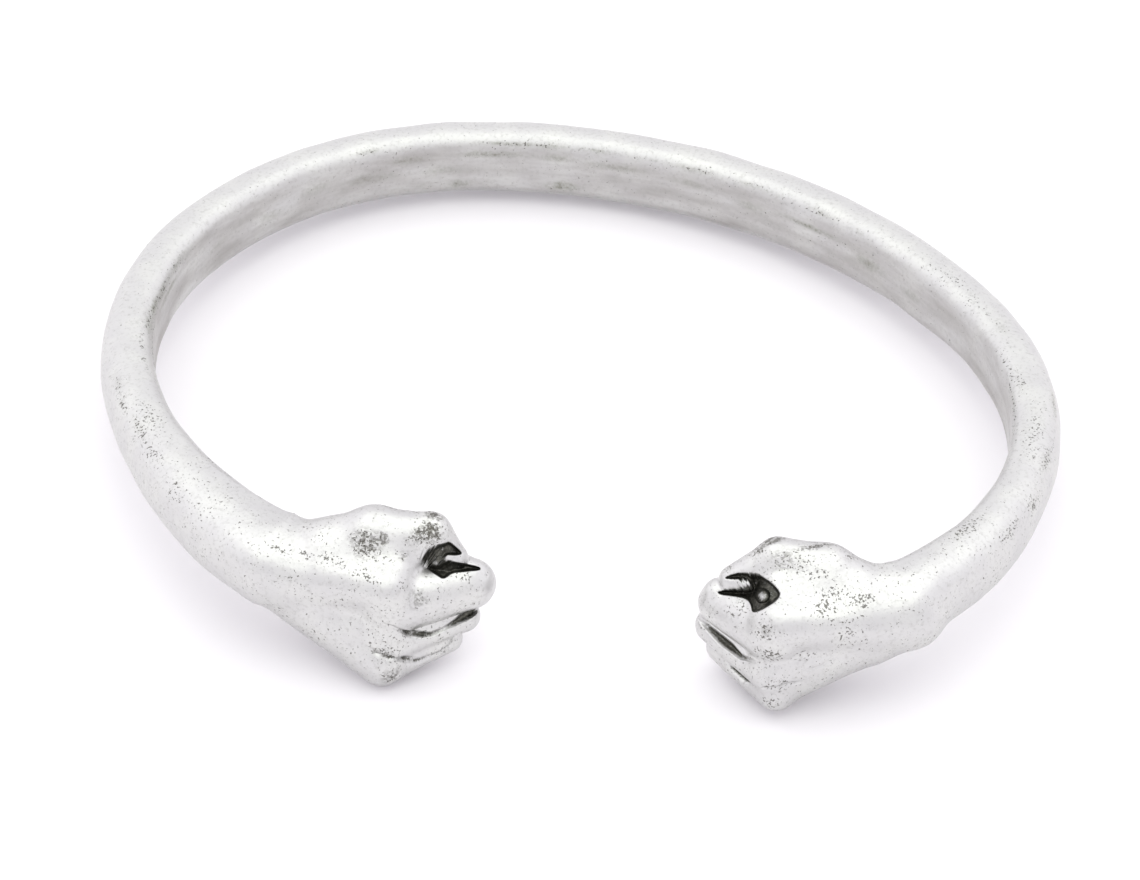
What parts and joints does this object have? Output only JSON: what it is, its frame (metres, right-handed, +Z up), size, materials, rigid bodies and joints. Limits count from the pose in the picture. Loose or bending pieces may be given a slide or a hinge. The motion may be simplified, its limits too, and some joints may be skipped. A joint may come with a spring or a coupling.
{
  "type": "cuff bracelet",
  "caption": "Open cuff bracelet cast in one piece: a slim band that swells into two forearms, each ending in a closed fist, the fists facing each other across the gap.",
  "frame": {"origin": "middle of the bracelet's box, on the surface it lies on", "axes": "+X across the bracelet from the left fist's side to the right fist's side, +Y from the gap between the fists to the back of the band, +Z up to the thumbs"},
  "size_m": [0.0632, 0.052, 0.0101],
  "materials": {
    "antique_silver": "satin antique silver, dark patina in the grooves, hollows and pits"
  },
  "bodies": {
    "root": {"fist_cuff": "antique_silver"}
  },
  "joints": []
}
